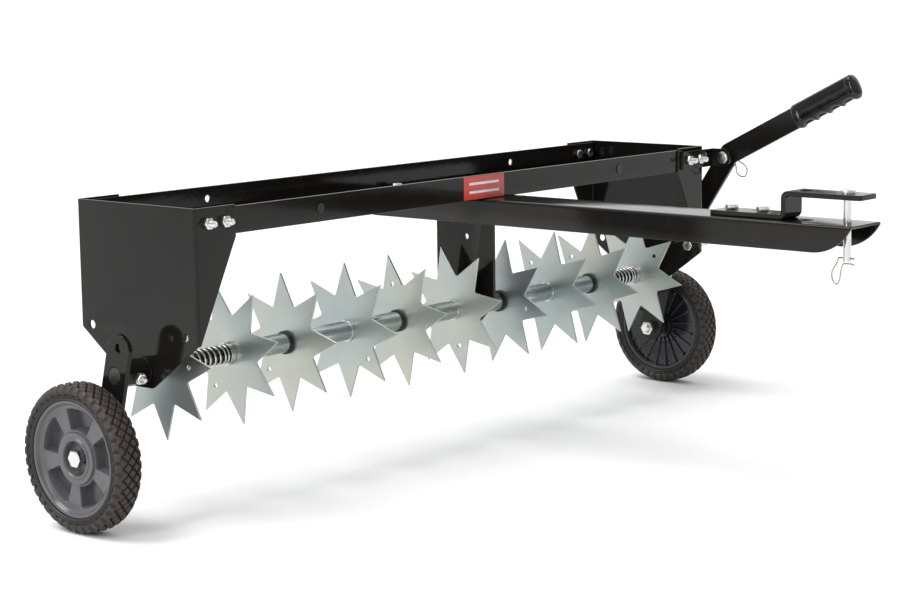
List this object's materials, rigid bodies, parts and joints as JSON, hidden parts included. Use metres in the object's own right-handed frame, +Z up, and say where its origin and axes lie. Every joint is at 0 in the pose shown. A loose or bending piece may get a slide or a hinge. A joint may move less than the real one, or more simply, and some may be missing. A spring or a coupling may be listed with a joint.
{
  "type": "tow-behind spike aerator",
  "caption": "Tow-behind lawn aerator: weight tray over a row of star wheels on one shaft, side wheels on a lift lever, drawbar with hitch pin.",
  "frame": {"origin": "centre of the spare hitch hole, midway through the clevis made by the hitch bracket and the drawbar's web", "axes": "+X across the machine to the lever's side, +Y to the rear, +Z up; the drawbar points along -Y"},
  "size_m": [1.204, 0.767, 0.4861],
  "materials": {
    "black_paint": "gloss powder coat",
    "zinc_star": "clear zinc plate on sheared sheet",
    "zinc_fastener": "bright zinc plate",
    "zinc_pin": "bright zinc plate",
    "clip_wire": "drawn wire",
    "shaft_steel": "plain oiled bar",
    "tube_steel": "zinc plate",
    "spring_steel": "oiled spring wire",
    "nylon_black": "moulded nylon",
    "grip_plastic": "dipped vinyl",
    "hub_plastic": "moulded polypropylene",
    "tyre_rubber": "solid rubber",
    "label_red": "printed vinyl"
  },
  "bodies": {
    "frame": {"plate_left": "black_paint", "plate_right": "black_paint", "angle_front": "black_paint", "angle_rear": "black_paint", "tongue": "black_paint", "hanger": "black_paint", "hitch_bracket": "black_paint", "lock_bracket": "black_paint", "corner_bolts": "zinc_fastener", "corner_nuts": "zinc_fastener", "tongue_bolts": "zinc_fastener", "tongue_nuts": "zinc_fastener", "hitch_bolts": "zinc_fastener", "hitch_nuts": "zinc_fastener", "hanger_bolts": "zinc_fastener", "hanger_nuts": "zinc_fastener", "stop_bolt": "zinc_fastener", "stop_nut": "zinc_fastener", "hole_plugs": "nylon_black", "shaft_bushes": "nylon_black", "label": "label_red"},
    "lift": {"shaft": "shaft_steel", "wheel_arm_left": "black_paint", "wheel_arm_right": "black_paint", "arm_collars": "black_paint", "cross_bolts": "zinc_fastener", "cross_nuts": "zinc_fastener", "lever_bar": "black_paint", "lever_grip": "grip_plastic", "lever_bolt": "zinc_fastener", "lever_nut": "zinc_fastener", "axle_bolts": "zinc_fastener", "axle_nuts": "zinc_fastener", "axle_spacers": "tube_steel", "spacer_tubes": "tube_steel", "star_washers": "zinc_fastener", "star_rings": "nylon_black", "spring_left": "spring_steel", "spring_right": "spring_steel"},
    "wheel_left": {"hub_left": "hub_plastic", "tyre_left": "tyre_rubber"},
    "wheel_right": {"hub_right": "hub_plastic", "tyre_right": "tyre_rubber"},
    "lock_pin": {"lock_pin": "zinc_pin"},
    "lock_clip": {"lock_clip": "clip_wire"},
    "hitch_pin": {"hitch_pin": "zinc_pin"},
    "hitch_clip": {"hitch_clip": "clip_wire"},
    "star_01": {"star_01": "zinc_star"},
    "star_02": {"star_02": "zinc_star"},
    "star_03": {"star_03": "zinc_star"},
    "star_04": {"star_04": "zinc_star"},
    "star_05": {"star_05": "zinc_star"},
    "star_06": {"star_06": "zinc_star"},
    "star_07": {"star_07": "zinc_star"},
    "star_08": {"star_08": "zinc_star"},
    "star_09": {"star_09": "zinc_star"},
    "star_10": {"star_10": "zinc_star"}
  },
  "joints": [
    {"name": "lift_lever", "type": "hinge", "parent": "frame", "child": "lift", "pos_m": [-0.036, 0.561, -0.17663], "axis": [-1, 0, 0], "range_deg": [0, 119.5]},
    {"name": "wheel_left_spin", "type": "hinge", "parent": "lift", "child": "wheel_left", "pos_m": [-0.619, 0.5847, -0.26993], "axis": [1, 0, 0], "continuous": true},
    {"name": "wheel_right_spin", "type": "hinge", "parent": "lift", "child": "wheel_right", "pos_m": [0.547, 0.5847, -0.26993], "axis": [1, 0, 0], "continuous": true},
    {"name": "lock_pin_slide", "type": "slide", "parent": "frame", "child": "lock_pin", "axis": [-1, 0, 0], "range_m": [0, 0.0045]},
    {"name": "lock_clip_slide", "type": "slide", "parent": "lock_pin", "child": "lock_clip", "axis": [0, -0.5736, -0.8192], "range_m": [0, 0.03]},
    {"name": "hitch_pin_slide", "type": "slide", "parent": "frame", "child": "hitch_pin", "axis": [0, 0, 1], "range_m": [0, 0.036]},
    {"name": "hitch_clip_slide", "type": "slide", "parent": "hitch_pin", "child": "hitch_clip", "axis": [0, 1, 0], "range_m": [0, 0.03]},
    {"name": "star_01_spin", "type": "hinge", "parent": "lift", "child": "star_01", "pos_m": [-0.515, 0.561, -0.17663], "axis": [1, 0, 0], "continuous": true},
    {"name": "star_02_spin", "type": "hinge", "parent": "lift", "child": "star_02", "pos_m": [-0.4045, 0.561, -0.17663], "axis": [1, 0, 0], "continuous": true},
    {"name": "star_03_spin", "type": "hinge", "parent": "lift", "child": "star_03", "pos_m": [-0.306, 0.561, -0.17663], "axis": [1, 0, 0], "continuous": true},
    {"name": "star_04_spin", "type": "hinge", "parent": "lift", "child": "star_04", "pos_m": [-0.1955, 0.561, -0.17663], "axis": [1, 0, 0], "continuous": true},
    {"name": "star_05_spin", "type": "hinge", "parent": "lift", "child": "star_05", "pos_m": [-0.097, 0.561, -0.17663], "axis": [1, 0, 0], "continuous": true},
    {"name": "star_06_spin", "type": "hinge", "parent": "lift", "child": "star_06", "pos_m": [0.0135, 0.561, -0.17663], "axis": [1, 0, 0], "continuous": true},
    {"name": "star_07_spin", "type": "hinge", "parent": "lift", "child": "star_07", "pos_m": [0.112, 0.561, -0.17663], "axis": [1, 0, 0], "continuous": true},
    {"name": "star_08_spin", "type": "hinge", "parent": "lift", "child": "star_08", "pos_m": [0.2225, 0.561, -0.17663], "axis": [1, 0, 0], "continuous": true},
    {"name": "star_09_spin", "type": "hinge", "parent": "lift", "child": "star_09", "pos_m": [0.321, 0.561, -0.17663], "axis": [1, 0, 0], "continuous": true},
    {"name": "star_10_spin", "type": "hinge", "parent": "lift", "child": "star_10", "pos_m": [0.4315, 0.561, -0.17663], "axis": [1, 0, 0], "continuous": true}
  ]
}
